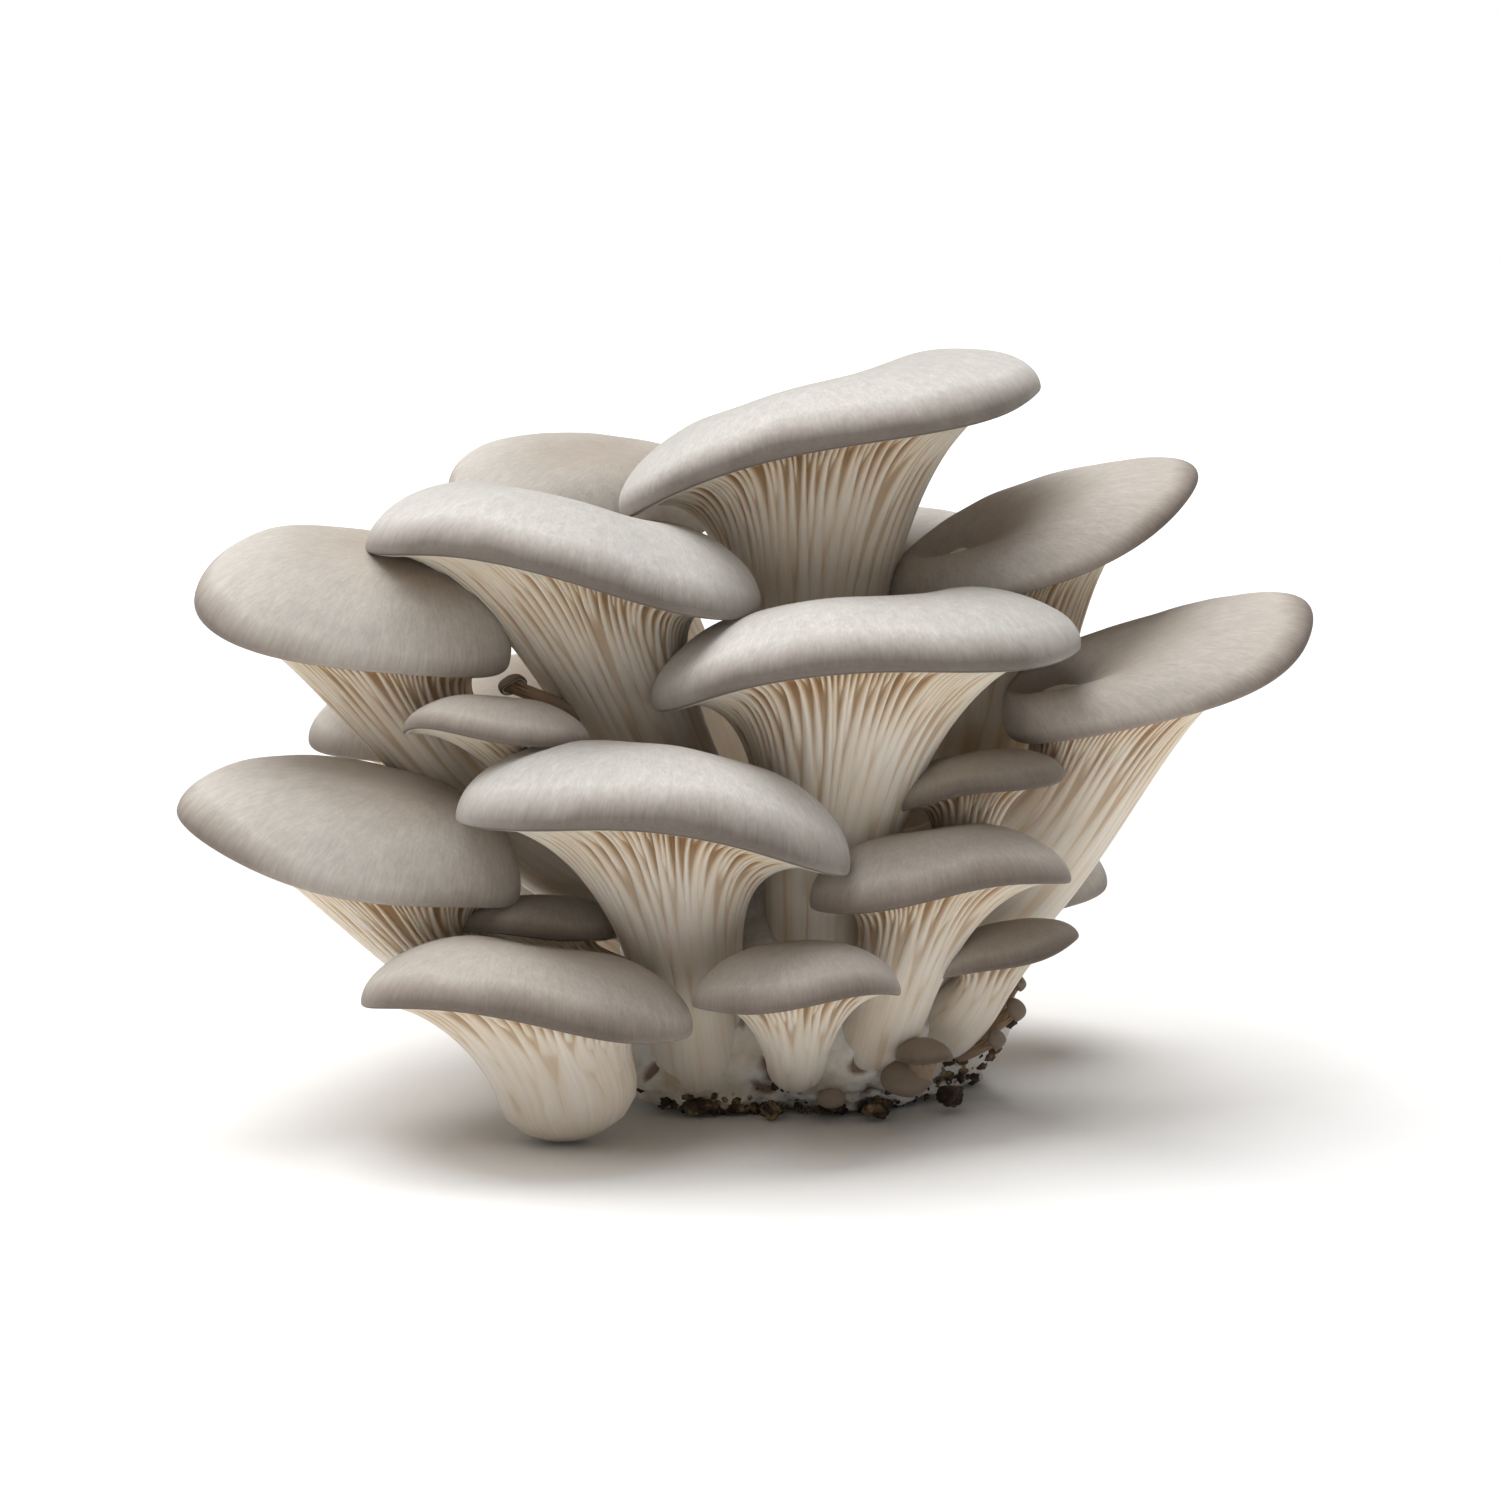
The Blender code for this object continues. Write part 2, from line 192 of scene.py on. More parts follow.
def foot_bulge(theta, z):
    """How far the foot swells beyond its plain oval in each direction."""
    lobe = (np.mod(theta - math.radians(-138.0) + math.pi, 2.0 * math.pi) - math.pi)
    lobe = lobe / math.radians(20.0)
    bulge = 1.0 + 0.38 * np.exp(-lobe * lobe) * np.exp(-((z / 26.0) ** 2))
    bulge += 0.05 * np.sin(3.0 * theta + 0.7) + 0.04 * np.cos(5.0 * theta + 0.1 * z)
    return bulge + 0.03 * np.sin(8.0 * theta - 0.15 * z)


def foot_point(theta, z, reach):
    """A point of the plain foot, in design mm."""
    bulge = foot_bulge(theta, z)
    drift = 2.0 * z / FOOT_HEIGHT
    x = FOOT_CENTRE[0] - drift + FOOT_REACH[0] * reach * bulge * np.cos(theta)
    y = FOOT_CENTRE[1] + drift + FOOT_REACH[1] * reach * bulge * np.sin(theta)
    return np.stack([x, y, z + 0.0 * theta], axis=-1)


def foot_finish():
    made = Finish("cottony_mycelium", Subsurface_Weight=0.12, Subsurface_Scale=0.002,
                  Subsurface_Radius=(1.0, 0.8, 0.6), Specular_IOR_Level=0.25)
    here = made.place()
    patch = made.cloud(here, 55.0, 4.0, 0.6)
    felt = made.cloud(here, 420.0, 5.0, 0.65)
    colour = made.shade(patch, (0.34, (0.60, 0.49, 0.35)), (0.44, (0.78, 0.71, 0.60)),
                        (0.53, (0.87, 0.835, 0.77)), (0.66, (0.91, 0.90, 0.87)))
    grain = made.shade(felt, (0.3, 0.72), (0.62, 1.0))
    colour = made.blend(0.55, colour, grain, "MULTIPLY")
    pit = made.mark("pit")
    colour = made.blend(made.shade(pit, (0.25, 0.0), (0.8, 0.85)), colour, (0.20, 0.11, 0.06))
    soil = made.cloud(here, 190.0, 3.0, 0.7)
    low = made.mark("low")
    speck = made.cells(here, 330.0)
    speck = made.shade(speck, (0.12, 1.0), (0.22, 0.0))
    speck = made.calc(speck, made.shade(made.calc(soil, low), (0.85, 0.0), (1.0, 0.9)), "MULTIPLY")
    colour = made.blend(speck, colour, (0.11, 0.06, 0.035))
    tall = made.calc(felt, made.cloud(here, 1500.0, 3.0, 0.7), "ADD")
    return made.finish(colour, made.shade(felt, (0.3, 0.95), (0.7, 0.8)), tall, 0.5, 0.0006)


def build_foot():
    around, step = 256, 6
    profile = np.array(FOOT_PROFILE)
    climb = np.linspace(0.0, len(profile) - 1.0, (len(profile) - 1) * step + 1)
    z = np.interp(climb, range(len(profile)), profile[:, 0])[:, None]
    reach = np.interp(climb, range(len(profile)), profile[:, 1])[:, None]
    theta = (np.arange(around) * 2.0 * math.pi / around)[None, :]
    skin = foot_point(theta, z, reach)
    out = np.stack([np.cos(theta), np.sin(theta), 0.0 * theta], axis=-1)
    out = out + np.array([0.0, 0.0, 1.0]) * (z[..., None] / FOOT_HEIGHT) ** 2
    lumps = ripples(skin, 11.0, 1.0) * 1.1 + ripples(skin, 4.0, 2.0) * 0.75
    holes = np.clip(ripples(skin, 5.5, 3.0, 2) * 2.6 - 0.75, 0.0, 1.0)
    holes *= np.clip((24.0 - z) / 8.0, 0.0, 1.0) * np.clip(z / 2.0, 0.0, 1.0)
    ragged = ripples(skin, 6.0, 4.0) * np.clip((7.0 - z) / 5.0, 0.0, 1.0) * 2.4
    moved = (lumps - 1.5 * holes + ragged) * np.clip(reach / 0.74, 0.0, 1.0)
    skin = skin + out * moved[..., None]
    lift = np.clip(ripples(skin, 7.0, 5.0) * 2.2 + 0.6, 0.0, 2.0)
    edge = np.exp(-(((reach - 0.78) / 0.09) ** 2)) * (z < 4.0)
    skin[..., 2] = np.maximum(skin[..., 2] + edge * lift, 0.0)
    low = np.clip(1.0 - z / 16.0, 0.0, 1.0) * 0.55 + 0.0 * theta
    return rolled_skin("foot_mycelium", skin, foot_finish(), pit=holes, low=low)


foot = build_foot()
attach(foot, "root")
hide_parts("mycelium_base")


# ------------------------------------------------------------- bark crumbs
# Crumbs of damp, dark wood chip from the bag's substrate: hundreds of specks pressed into the torn
# lower edge of the foot, and six bigger chips. The front, front right, right and back right chips
# stand clear of the foot, which is a fault of this build.

CHIPS = {
    "bark_crumb_front_left": ((4.6, 3.4, 3.0), 51),
    "bark_crumb_front": ((3.6, 3.1, 2.7), 52),
    "bark_crumb_front_right": ((3.8, 3.2, 2.5), 53),
    "bark_crumb_right": ((4.0, 3.5, 3.4), 54),
    "bark_crumb_back_right": ((4.4, 4.0, 3.2), 55),
    "bark_crumb_back_left": ((4.0, 4.0, 3.2), 56),
}
# Heaps of specks: direction round the foot, height, spreads of both, how many.
HEAPS = (
    (-112, 1.2, 9, 0.8, 34), (-88, 1.6, 5, 1.0, 34), (-66, 1.6, 5, 1.0, 26),
    (-47, 2.4, 5, 1.6, 46), (-30, 5.0, 5, 2.0, 34), (-12, 11.0, 5, 3.0, 22),
    (-126, 2.0, 7, 1.2, 20), (-57, 9.0, 5, 1.6, 18), (12, 6.0, 14, 4.0, 40),
    (45, 3.5, 16, 2.5, 46), (80, 3.0, 18, 2.2, 50), (120, 3.0, 18, 2.2, 44),
    (160, 3.5, 18, 2.6, 38), (-165, 3.0, 14, 2.0, 30), (30, 14.0, 22, 5.0, 22),
    (-40, 13.0, 4, 1.5, 14), (-26, 16.0, 4, 1.5, 14), (-100, 6.0, 4, 1.2, 7),
)


def bark_finish():
    made = Finish("damp_bark", Specular_IOR_Level=0.35)
    here = made.place()
    stretched = made.put("Mapping", Vector=here, Scale=(1.0, 0.35, 2.2)).outputs["Vector"]
    fibre = made.cloud(stretched, 900.0, 4.0, 0.65)
    lump = made.cloud(here, 260.0, 3.0, 0.6)
    colour = made.shade(lump, (0.32, (0.030, 0.019, 0.012)), (0.5, (0.085, 0.054, 0.032)),
                        (0.6, (0.27, 0.18, 0.095)), (0.72, (0.50, 0.38, 0.22)))
    colour = made.blend(0.7, colour, made.shade(fibre, (0.3, 0.45), (0.66, 1.0)), "MULTIPLY")
    return made.finish(colour, made.shade(fibre, (0.3, 0.9), (0.7, 0.6)), fibre, 0.8, 0.0004)


BARK = bark_finish()


def link_bark(name, bm):
    """Put the shaped bark, in metres, into the scene."""
    bmesh.ops.recalc_face_normals(bm, faces=bm.faces)
    mesh = bpy.data.meshes.new(name)
    bm.to_mesh(mesh)
    bm.free()
    mesh.materials.append(BARK)
    piece = bpy.data.objects.new(name, mesh)
    bpy.context.scene.collection.objects.link(piece)
    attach(piece, "root")
    return piece


def bark_chip(node, size, seed):
    """A splintered chip: a knobbly ball, split off flat along a few planes."""
    dice = random.Random(seed)
    low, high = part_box(node)
    bm = bmesh.new()
    bmesh.ops.create_icosphere(bm, subdivisions=4, radius=0.5)
    for _ in range(6):
        split = Vector([dice.uniform(-1.0, 1.0) for _ in range(3)]).normalized()
        cut = bmesh.ops.bisect_plane(bm, geom=bm.verts[:] + bm.edges[:] + bm.faces[:], dist=1e-5,
                                     plane_co=split * dice.uniform(0.3, 0.42), plane_no=split,
                                     clear_outer=True)
        rim = [e for e in cut["geom_cut"] if isinstance(e, bmesh.types.BMEdge)]
        bmesh.ops.holes_fill(bm, edges=rim, sides=0)
    bmesh.ops.triangulate(bm, faces=bm.faces)
    bmesh.ops.subdivide_edges(bm, edges=[e for e in bm.edges if e.calc_length() > 0.1], cuts=2,
                              use_grid_fill=True)
    bmesh.ops.triangulate(bm, faces=bm.faces)
    centre = (low + high) / 2.0
    for vert in bm.verts:
        rough = 1.0 + 0.16 * noise.noise(vert.co * 5.0 + Vector((seed, 0, 0)))
        rough += 0.1 * noise.noise(vert.co * Vector((14.0, 3.0, 20.0)) + Vector((0, seed, 0)))
        grown = Vector([a * b for a, b in zip(vert.co, size)]) * (rough * 1.25 * MM)
        vert.co = centre + grown
        vert.co.z = max(vert.co.z, 0.0)
    piece = link_bark(node.replace("bark_crumb", "bark_chip"), bm)
    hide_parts(node)


for node, (size, seed) in CHIPS.items():
    bark_chip(node, size, seed)


def speck_crumbs():
    """The small crumbs, heaped round the lower edge of the foot."""
    dice = random.Random(77)
    profile = np.array(FOOT_PROFILE)
    bm = bmesh.new()
    for face, height, wide, tall, count in HEAPS:
        for _ in range(count):
            theta = math.radians(dice.gauss(face, wide))
            z = min(abs(dice.gauss(height, tall)), 26.0)
            size = dice.choice((0.5, 0.6, 0.7, 0.9, 1.1, 1.4)) * dice.uniform(0.8, 1.2)
            reach = float(np.interp(z, profile[2:8, 0], profile[2:8, 1]))
            spot = foot_point(np.array(theta), np.array(z), reach)
            rough = noise.fractal(Vector(spot / 11.0) + Vector((7.31, 3.77, 1.93)), 1.0, 2.0, 3)
            spot = spot + np.array([math.cos(theta), math.sin(theta), 0.0]) * (1.1 * rough)
            spot[2] = max(spot[2], size * 0.9)
            turn = Matrix.Rotation(dice.uniform(0.0, 6.28), 4, Vector(
                [dice.uniform(-1.0, 1.0) for _ in range(3)]).normalized())
            stretch = Matrix.Diagonal((size * MM, size * MM * dice.uniform(0.5, 0.9),
                                       size * MM * dice.uniform(0.4, 0.8), 1.0))
            place = Matrix.Translation(Vector(spot) * MM + GROUND_ZERO) @ turn @ stretch
            bmesh.ops.create_icosphere(bm, subdivisions=1, radius=1.0, matrix=place)
    link_bark("bark_specks", bm)


speck_crumbs()


# ---------------------------------------------------------- fruit bodies
# Each fruit body is one piece of firm, moist flesh: a smooth greige cap on top, and under it
# hundreds of thin cream gills that run down the stem and fade into it before it joins the foot.
# front_low_mushroom should join it too, but stands clear of it, which is a fault of this build.

CAP_RINGS, STEM_RINGS = 30, 40
GILL_COLUMNS = 5  # columns of mesh across each gill
GILL_PITCH = 1.45  # mm between gills at the margin
GILL_DEPTH, DEEP_WIDTH = 1.9, 75.0  # mm, and the cap width in mm that it belongs to
ROLL_DROP = 1.15  # how far the margin hangs, in margin thicknesses
HOLLOW_REACH = 0.34  # the hollow over the stem, as a part of the way to the margin
SKIN_THICK, FLESH_INSET = 0.03, 0.015  # as parts of the cap width

# name: (cap centre, facing, width, foot, lean, foot radius, seed, tone, other values)
LARGE = {
    "crown_mushroom": ((14.5, 14, 115), -80, 80, (12, 14, 40), (-0.05, 0.1, 1), 8, 1, "pale",
                       {"pitch": 7, "roll": 14, "crown": 0.16, "tuck": 0.42, "stiff": 0.72,
                        "skew": 0.1, "broad": 1.4}),
    "upper_left_mushroom": ((-32, -8, 94), -98, 71, (-5, 4, 36), (-0.5, -0.1, 1), 10, 2, "pale",
                            {"pitch": 7, "roll": -10, "crown": 0.2, "tuck": 0.5, "skew": -0.12}),
    "centre_mushroom": ((20, -16, 78), -86, 75, (13, -12, 28), (0, -0.25, 1), 10.5, 4, "pale",
                        {"pitch": 8, "roll": 6, "crown": 0.19, "tuck": 0.44}),
    "far_right_mushroom": ((71.5, -4, 76), -6, 42, (25, 3, 30), (0.8, -0.1, 0.2), 9, 14, "taupe",
                           {"deep": 1.9, "tuck": 0.6, "stiff": 0.55, "pitch": 21, "roll": 15,
                            "front": 0.68, "back": 0.66, "crown": 0.2, "dimple": 0.16,
                            "offset": 0.5, "taper": 0.12}),
    "front_mushroom": ((-16, -36, 52), -92, 66, (-9, -15, 13), (-0.1, -0.5, 0.9), 9, 5, "pale",
                       {"roll": -7, "crown": 0.25, "tuck": 0.55, "heel": 1.25, "dimple": 0.03}),
    "left_low_mushroom": ((-69, -20, 47.5), 186, 45, (-13, -2, 14), (-1, -0.1, -0.1), 9.5, 13,
                          "warm", {"pitch": 15.5, "roll": -9, "front": 0.68, "back": 0.66,
                                   "crown": 0.32, "dimple": 0.01, "offset": 0.25, "taper": 0.12,
                                   "tuck": 0.48, "broad": 1.3}),
    "left_high_mushroom": ((-69, -6, 85.5), 188, 45, (-10, 8, 30), (-0.9, -0.05, 0.35), 9, 12,
                           "warm", {"roll": -15, "front": 0.64, "back": 0.62, "crown": 0.32,
                                    "dimple": 0.01, "offset": 0.15, "taper": 0.12,
                                    "tuck": 0.5, "broad": 1.2}),
    "upper_right_mushroom": ((52.5, 16, 98), -4, 41, (30, 16, 32), (0.5, 0, 0.8), 7.5, 15, "taupe",
                             {"deep": 1.5, "pitch": 23, "roll": 16, "front": 0.7, "back": 0.74,
                              "crown": 0.2, "dimple": 0.14, "offset": 0.4, "taper": 0.2}),
    "back_high_mushroom": ((-30, 44, 102), 120, 53, (0, 22, 36), (-0.3, 0.45, 0.9), 8, 3, "warm",
                           {"pitch": 16, "dimple": 0.0, "tuck": 0.72}),
    "front_low_mushroom": ((-38, -44, 24), -97, 55, (-31, -37.5, 9.5), (-0.2, -0.15, 1), 9, 7,
                           "taupe", {"pitch": 10, "roll": -6, "stiff": 0.35, "tuck": 0.4,
                                     "broad": 1.35, "heel": 1.0, "dimple": 0.02}),
    "right_middle_mushroom": ((32, -28, 42), -80, 44, (22, -16, 14), (0.1, -0.6, 0.6), 7.5, 9,
                              "taupe", {"pitch": 9, "roll": 6, "dimple": 0.02, "dome": 2.3,
                                        "crown": 0.25, "tuck": 0.6, "heel": 1.2}),
    "back_right_mushroom": ((22, 46, 88), 70, 58, (17, 24, 32), (0.1, 0.5, 0.9), 7.5, 16, "pale",
                            {"pitch": 14, "roll": 4, "tuck": 0.72}),
    "back_left_mushroom": ((-40, 50, 60), 125, 52, (-4, 24, 24), (-0.6, 0.6, 0.4), 7.5, 18,
                           "warm", {"tuck": 0.72}),
    "back_middle_mushroom": ((6, 62, 48), 88, 50, (8, 30, 17), (0, 0.8, 0.3), 7, 19, "pale",
                             {"roll": -5, "tuck": 0.72}),
    "back_low_right_mushroom": ((46, 48, 31), 48, 44, (28, 24, 14), (0.5, 0.7, 0.2), 6.5, 20,
                                "taupe", {"roll": 5, "tuck": 0.72}),
}
BUD = {"dome": 2.1, "dimple": 0.01}
BUDS = {
    "front_bud": ((8, -46, 27), -88, 35, (8, -20, 10), (0, -0.9, 0.3), 5.2, 8, "taupe",
                  {**BUD, "pitch": 8, "roll": 5, "stiff": 0.5, "crown": 0.27,
                   "tuck": 0.5, "heel": 1.2}),
    "left_bud": ((-43, -26, 68), -105, 33, (-13, -2, 31), (-0.6, -0.15, 0.7), 5, 6, "taupe",
                 {**BUD, "pitch": 10, "roll": -4, "tuck": 0.72}),
    "right_high_bud": ((39, -14, 57), -75, 31, (33, -5, 28), (0.2, -0.3, 0.9), 5, 10, "taupe",
                       {**BUD, "pitch": 9, "roll": 8, "tuck": 0.72}),
    "right_low_bud": ((44, -20, 29), -70, 26, (34, -8, 14), (0.4, -0.6, 0.4), 6, 11, "taupe",
                      {**BUD, "pitch": 8, "roll": 12, "tuck": 0.72}),
    "inner_left_bud": ((-37, -15, 32), -120, 32, (-12, -8, 18), (-0.8, -0.4, 0.3), 5, 23, "taupe",
                       {**BUD, "pitch": 10, "roll": 4, "tuck": 0.72}),
    "back_low_left_bud": ((-30, 44, 26), 110, 38, (-8, 24, 11), (-0.5, 0.7, 0), 6.5, 21, "taupe",
                          {**BUD, "pitch": 10, "roll": 5, "tuck": 0.72}),
    "back_left_bud": ((-64, 20, 62), 168, 34, (-12, 14, 26), (-0.8, 0.3, 0.3), 6, 17, "warm",
                      {**BUD, "pitch": 4, "roll": -8, "crown": 0.3, "tuck": 0.72}),
}
STUB = {"front": 0.36, "crown": 0.3, "lip": 0.06, "tuck": 0.35, "stiff": 0.35, "dimple": 0.0}
PINS = {
    "front_pin_high": ((30, -27, 12.5), -80, 10, (29.5, -22.5, 8), (0.1, -0.4, 0.8), 2.2, 31,
                       "pin", {**STUB, "pitch": 4, "back": 0.56, "offset": 0.3}),
    "front_pin_low": ((27, -23, 8), 90, 9, (25, -15, 6), (0.1, -1, 0.3), 2.4, 32, "pin",
                      {**STUB, "pitch": 70}),
    "front_pin_small": ((14, -23.5, 4.5), 100, 5, (13, -17, 4), (0, -1, 0.2), 1.5, 37, "pin",
                        {**STUB, "pitch": 75}),
    "right_pin_high": ((47.3, -4, 21), 175, 4.5, (43, -2, 16), (1, -0.2, 0.5), 1.3, 33, "pin",
                       {**STUB, "pitch": 60}),
    "right_pin_middle": ((46.5, -8, 17), 165, 6, (40, -5, 12), (1, -0.3, 0.4), 1.7, 34,
                         "pin", {**STUB, "pitch": 65}),
    "right_pin_low": ((43, -12, 12.5), 155, 5, (37, -8, 9), (1, -0.4, 0.3), 1.4, 35, "pin",
                      {**STUB, "pitch": 70}),
    "upper_left_pin": ((-41, -12, 75), -40, 6, (-30, -7, 69), (-0.8, -0.3, 0.5), 1.7, 36,
                       "pin", {**STUB, "pitch": 50}),
}
SHAPE = {"pitch": 12.0, "roll": 0.0, "front": 0.46, "back": 0.36, "crown": 0.22, "dimple": 0.06,
         "offset": 0.12, "lip": 0.02, "tuck": 0.6, "stiff": 0.62, "taper": 0.0, "wave": 0.02,
         "heel": 0.8, "dome": 2.6, "skew": 0.0, "broad": 1.0, "deep": 1.0}


def turned(out, side, normal, roll):
    return out, side * math.cos(roll) + normal * math.sin(roll), (
        normal * math.cos(roll) - side * math.sin(roll))


class FruitBody:
    """The form of one fruit body. Angles and heights may be whole grids of numbers."""

    def __init__(self, cap, facing, width, foot, lean, foot_radius, seed, more):
        shape = {**SHAPE, **more}
        facing, pitch, roll = (math.radians(a) for a in (facing, shape["pitch"], shape["roll"]))
        flat = Vector((math.cos(facing), math.sin(facing), 0.0))
        up = Vector((0.0, 0.0, 1.0))
        out = flat * math.cos(pitch) + up * math.sin(pitch)
        normal = up * math.cos(pitch) - flat * math.sin(pitch)
        out, side, normal = turned(out, normal.cross(out), normal, roll)
        grow = Vector(lean).normalized()
        turn = normal.rotation_difference(grow)
        self.axes = [np.array(axis) for axis in (out, side, normal)]
        self.foot_axes = [np.array(turn @ axis) for axis in (out, side)]
        self.grow = np.array(grow)
        self.centre, self.foot = np.array(cap, float), np.array(foot, float)
        self.width, self.foot_radius = width, foot_radius
        self.front, self.back = shape["front"] * width, shape["back"] * width
        self.crown, self.dimple = shape["crown"] * width, shape["dimple"] * width
        self.offset, self.lip = shape["offset"] * width, shape["lip"] * width
        self.tuck, self.stiff = shape["tuck"], shape["stiff"]
        self.taper, self.wave, self.heel = shape["taper"], shape["wave"], shape["heel"]
        self.skew, self.dome = shape["skew"], shape["dome"]
        self.foot_axes[0] = self.foot_axes[0] * shape["deep"]
        self.foot_axes[1] = self.foot_axes[1] * shape["broad"]
        dice = random.Random(seed)
        self.phase = [dice.uniform(0.0, 2.0 * math.pi) for _ in range(4)]
        self.seed = seed

    def at(self, out, side, up):
        place = self.centre
        for amount, axis in zip((out, side, up), self.axes):
            place = place + np.asarray(amount)[..., None] * axis
        return place

    def outline(self, theta):
        """Margin of the cap: how far out, how far sideways and how far up it waves."""
        first, second, third, fourth = self.phase
        ripple = 1.0 + self.wave * np.cos(2.0 * theta + first)
        ripple += self.wave * np.cos(3.0 * theta + second)
        ripple += 0.6 * self.wave * np.cos(5.0 * theta + third)
        out = np.where(np.cos(theta) > 0.0, self.front, self.back) * np.cos(theta) * ripple
        side = self.width / 2.0 * np.sin(theta) * ripple * (1.0 + self.taper * np.cos(theta))
        lift = 0.9 * self.width * self.wave * np.cos(3.0 * theta + fourth)
        return out, side, lift

    def top(self, theta, r, deep=0.0):
        """The upper skin, or a layer this deep under it; r is 0 at the hollow, 1 at the margin."""
        out, side, lift = self.outline(theta)
        height = self.crown * (1.0 - np.minimum(r, 1.0) ** self.dome) ** 0.56
        height = height * (1.0 + self.skew * 2.0 * side * r / self.width)
        height = height - self.dimple * np.exp(-((r / HOLLOW_REACH) ** 2))
        height = height - deep * np.sqrt(np.clip(height / self.crown, 0.0, 1.0)) + lift * r * r
        inward = 1.0 - deep / np.hypot(out, side)
        return self.at(out * r * inward - self.offset * (1.0 - r), side * r * inward, height)

    def margin(self, theta, turn, part=1.0, crisp=1.0):
        """The rolled margin, turn from 0 outside to pi inside; part thins it, crisp squares it."""
        out, side, lift = self.outline(theta)
        across = np.sign(np.cos(turn)) * np.abs(np.cos(turn)) ** crisp
        inward = 1.0 - self.lip * (1.0 - part * across) / np.hypot(out, side)
        drop = ROLL_DROP * part * self.lip * np.abs(np.sin(turn)) ** crisp
        return self.at(out * inward, side * inward, lift - drop)

    def ring(self, theta, radius):
        return (np.asarray(radius * np.cos(theta))[..., None] * self.foot_axes[0]
                + np.asarray(radius * np.sin(theta))[..., None] * self.foot_axes[1])

    def under(self, theta, t):
        """The plain form below the cap, t from 0 inside the margin to 1 at the foot."""
        start = self.margin(theta, 0.8 * math.pi)
        throat = self.at(-self.offset, 0.0, 0.05 * self.crown)
        end = self.foot + self.ring(theta, self.foot_radius)
        bend = start + (throat - start) * self.tuck
        rise = end + self.grow * (np.linalg.norm(self.centre - self.foot) * self.stiff)
        t = np.asarray(t)[..., None]
        s = 1.0 - t
        return start * s**3 + bend * (3.0 * s * s * t) + rise * (3.0 * s * t * t) + end * t**3

    def heel_end(self, theta, turn):
        drop = self.foot_radius * self.heel * np.sin(turn)
        return (self.foot - np.asarray(drop)[..., None] * self.grow
                + self.ring(theta, self.foot_radius * np.cos(turn)))


def along(rows, columns):
    """Grids of a row value and of the angle of each column."""
    theta = np.arange(columns) * 2.0 * math.pi / columns
    return np.meshgrid(np.array(rows, float), theta, indexing="ij")


def facing_out(skin):
    """The outward direction at each point of a grid that runs up and round a form."""
    round_it = np.roll(skin, -1, axis=1) - np.roll(skin, 1, axis=1)
    up_it = np.gradient(skin, axis=0)
    out = np.cross(round_it, up_it)
    return out / np.maximum(np.linalg.norm(out, axis=-1, keepdims=True), 1e-9)


def smooth_step(x):
    x = np.clip(x, 0.0, 1.0)
    return x * x * (3.0 - 2.0 * x)


def gill_reach(count, dice):
    """How far down the stem each gill runs: one in eight all the way, the rest fading early."""
    last = [dice.uniform(0.12, 0.36) for _ in range(count)]
    whole = [(8 * j + dice.choice((-1, 0, 1))) % count for j in range(count // 8)]
    for j, first in enumerate(whole):
        gap = (whole[(j + 1) % len(whole)] - first) % count or count
        middle = (first + gap // 2) % count
        for near in ((first + gap // 4) % count, (first + (3 * gap) // 4) % count):
            last[near] = dice.uniform(0.32, 0.6)
        last[middle] = dice.uniform(0.55, 0.85)
    for first in whole:
        last[first] = 9.0
    return np.array(last)


def gill_relief(count, t, dice):
    """Height of the gills, 0 between them to 1 on an edge, for each row t and mesh column."""
    columns = count * GILL_COLUMNS
    last = gill_reach(count, dice)
    tall = np.array([dice.uniform(0.78, 1.0) for _ in range(count)])
    spot = np.arange(columns) / GILL_COLUMNS
    wide = (0.38 + 0.14 * smooth_step(t / 0.5)) * 2.0 ** np.clip((t - 0.15) / 0.22, 0.0, 3.0)
    edge = 1.7 - 1.05 * smooth_step(t / 0.6)
    relief = np.zeros((len(t), columns))
    for step in range(-8, 10):
        blade = np.floor(spot).astype(int) + step
        off = np.abs(spot - blade)[None, :] / wide[:, None]
        bump = np.clip(1.0 - off * off, 0.0, 1.0) ** edge[:, None]
        blade = blade % count
        fade = 1.0 - smooth_step((t[:, None] - last[blade][None, :]) / 0.12 + 0.5)
        relief = np.maximum(relief, bump * fade * tall[blade][None, :])
    return relief


